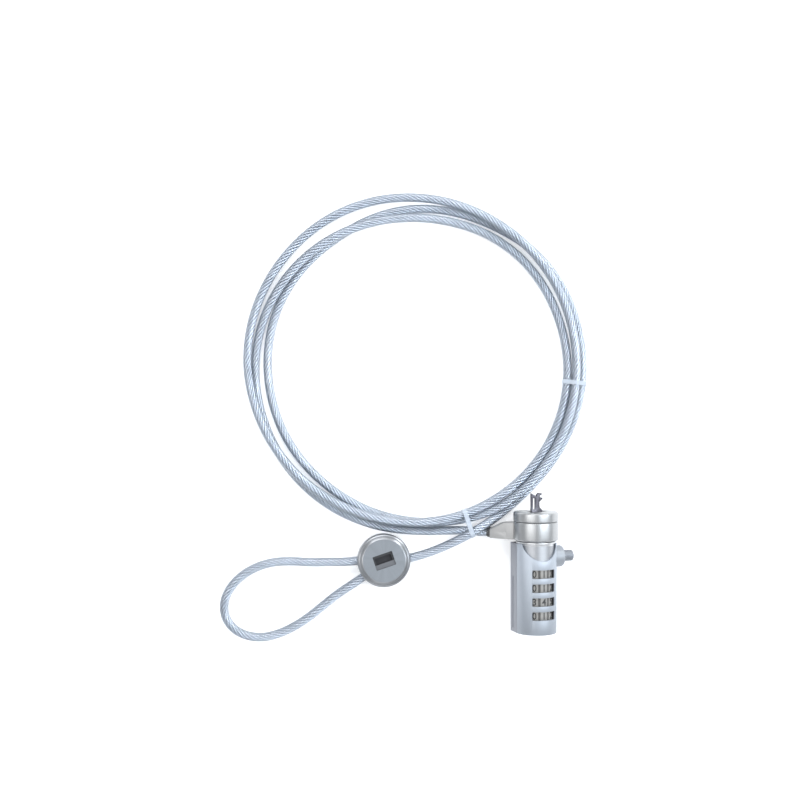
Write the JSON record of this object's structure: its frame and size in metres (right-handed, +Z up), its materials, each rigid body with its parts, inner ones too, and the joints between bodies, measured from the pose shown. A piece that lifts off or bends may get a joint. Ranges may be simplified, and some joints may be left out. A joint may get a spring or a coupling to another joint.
{
  "type": "laptop cable lock",
  "caption": "Numbered-dial cable lock with a side push pin, hooked claws on a swivel head, a coiled steel cable in a clear jacket and a slotted round anchor on its end loop.",
  "frame": {"origin": "on the table, under the middle of the lock's own box (lock body, head, stem and push pin; the cable, ties and anchor left out)", "axes": "+Y the way the claws point, along the lock's axis; +X towards the push pin; +Z up from the table, z = 0 is the table"},
  "size_m": [0.1895, 0.2312, 0.0227],
  "materials": {
    "turned_nickel": "turned satin nickel",
    "silver_body": "matte silver plate over die-cast metal",
    "tool_steel": "plain hardened steel",
    "dial_metal": "satin plated, dark filled numbers",
    "spacer": "plain",
    "anchor_metal": "satin silver plate",
    "cable_jacket": "clear jacket over twisted steel rope",
    "black_bush": "matte black",
    "clear_tie": "translucent white"
  },
  "bodies": {
    "cable_side": {"swivel_ring": "turned_nickel", "cable_stem": "turned_nickel", "stem_bush": "black_bush", "cable_ferrule": "tool_steel", "stem_cross_pin": "tool_steel", "cable_lead": "cable_jacket", "cable_coil": "cable_jacket", "cable_tail": "cable_jacket", "cable_loop": "cable_jacket", "tie_1": "clear_tie", "tie_2": "clear_tie", "anchor_body": "anchor_metal", "anchor_cap": "anchor_metal", "anchor_ferrule": "tool_steel", "anchor_rivets": "tool_steel"},
    "lock_body": {"rear_shell": "silver_body", "front_cover": "silver_body", "core_barrel": "turned_nickel", "end_plate": "silver_body", "shell_screws": "tool_steel", "button_housing": "silver_body", "head_cap": "turned_nickel", "retaining_ring": "tool_steel", "dial_spindle": "tool_steel", "dial_spacers": "spacer", "detent_spring": "tool_steel", "claw_pivot_pin": "tool_steel", "button_spring": "tool_steel", "draw_bar_spring": "tool_steel"},
    "dial_1": {"dial_1": "dial_metal", "code_sleeve_1": "dial_metal"},
    "dial_2": {"dial_2": "dial_metal", "code_sleeve_2": "dial_metal"},
    "dial_3": {"dial_3": "dial_metal", "code_sleeve_3": "dial_metal"},
    "dial_4": {"dial_4": "dial_metal", "code_sleeve_4": "dial_metal"},
    "push_pin": {"release_button": "silver_body"},
    "draw_bar": {"draw_bar": "tool_steel"},
    "locking_bar": {"locking_bar": "tool_steel"},
    "claw_left": {"claw_left": "tool_steel"},
    "claw_right": {"claw_right": "tool_steel"},
    "reset_screw": {"reset_screw": "tool_steel"}
  },
  "joints": [
    {"name": "lock_swivel", "type": "hinge", "parent": "cable_side", "child": "lock_body", "pos_m": [0.00225, 0.0157, 0.01135], "axis": [0, 1, 0], "continuous": true},
    {"name": "dial_1_spin", "type": "hinge", "parent": "lock_body", "child": "dial_1", "pos_m": [0.00273, -0.0052, 0.01267], "axis": [0, 1, 0], "continuous": true},
    {"name": "dial_2_spin", "type": "hinge", "parent": "lock_body", "child": "dial_2", "pos_m": [0.00273, -0.01215, 0.01267], "axis": [0, 1, 0], "continuous": true},
    {"name": "dial_3_spin", "type": "hinge", "parent": "lock_body", "child": "dial_3", "pos_m": [0.00273, -0.0191, 0.01267], "axis": [0, 1, 0], "continuous": true},
    {"name": "dial_4_spin", "type": "hinge", "parent": "lock_body", "child": "dial_4", "pos_m": [0.00273, -0.02605, 0.01267], "axis": [0, 1, 0], "continuous": true},
    {"name": "button_press", "type": "slide", "parent": "lock_body", "child": "push_pin", "axis": [-0.9397, 0, 0.342], "range_m": [0, 0.0018], "stiffness_N_per_m": 600, "springref_m": -0.003, "deforming": ["button_spring"]},
    {"name": "draw_bar_slide", "type": "slide", "parent": "lock_body", "child": "draw_bar", "axis": [0, -1, 0], "range_m": [0, 0.0009], "deforming": ["draw_bar_spring"]},
    {"name": "locking_bar_slide", "type": "slide", "parent": "lock_body", "child": "locking_bar", "axis": [0, -1, 0], "range_m": [0, 0.0009]},
    {"name": "claw_left_pivot", "type": "hinge", "parent": "lock_body", "child": "claw_left", "pos_m": [0.00253, 0.0195, 0.01125], "axis": [0.342, 0, 0.9397], "range_deg": [-6, 0]},
    {"name": "claw_right_pivot", "type": "hinge", "parent": "lock_body", "child": "claw_right", "pos_m": [0.00253, 0.0195, 0.01125], "axis": [0.342, 0, 0.9397], "range_deg": [0, 6]},
    {"name": "reset_turn", "type": "hinge", "parent": "lock_body", "child": "reset_screw", "pos_m": [-0.00462, -0.033, 0.01002], "axis": [0, 1, 0], "range_deg": [0, 90]}
  ],
  "couplings": [
    {"joint": "draw_bar_slide", "follows": "button_press", "ratio": 0.4355},
    {"joint": "locking_bar_slide", "follows": "button_press", "ratio": 0.4355},
    {"joint": "claw_left_pivot", "follows": "button_press", "rad_per_m": -54.3},
    {"joint": "claw_right_pivot", "follows": "button_press", "rad_per_m": 54.3}
  ]
}
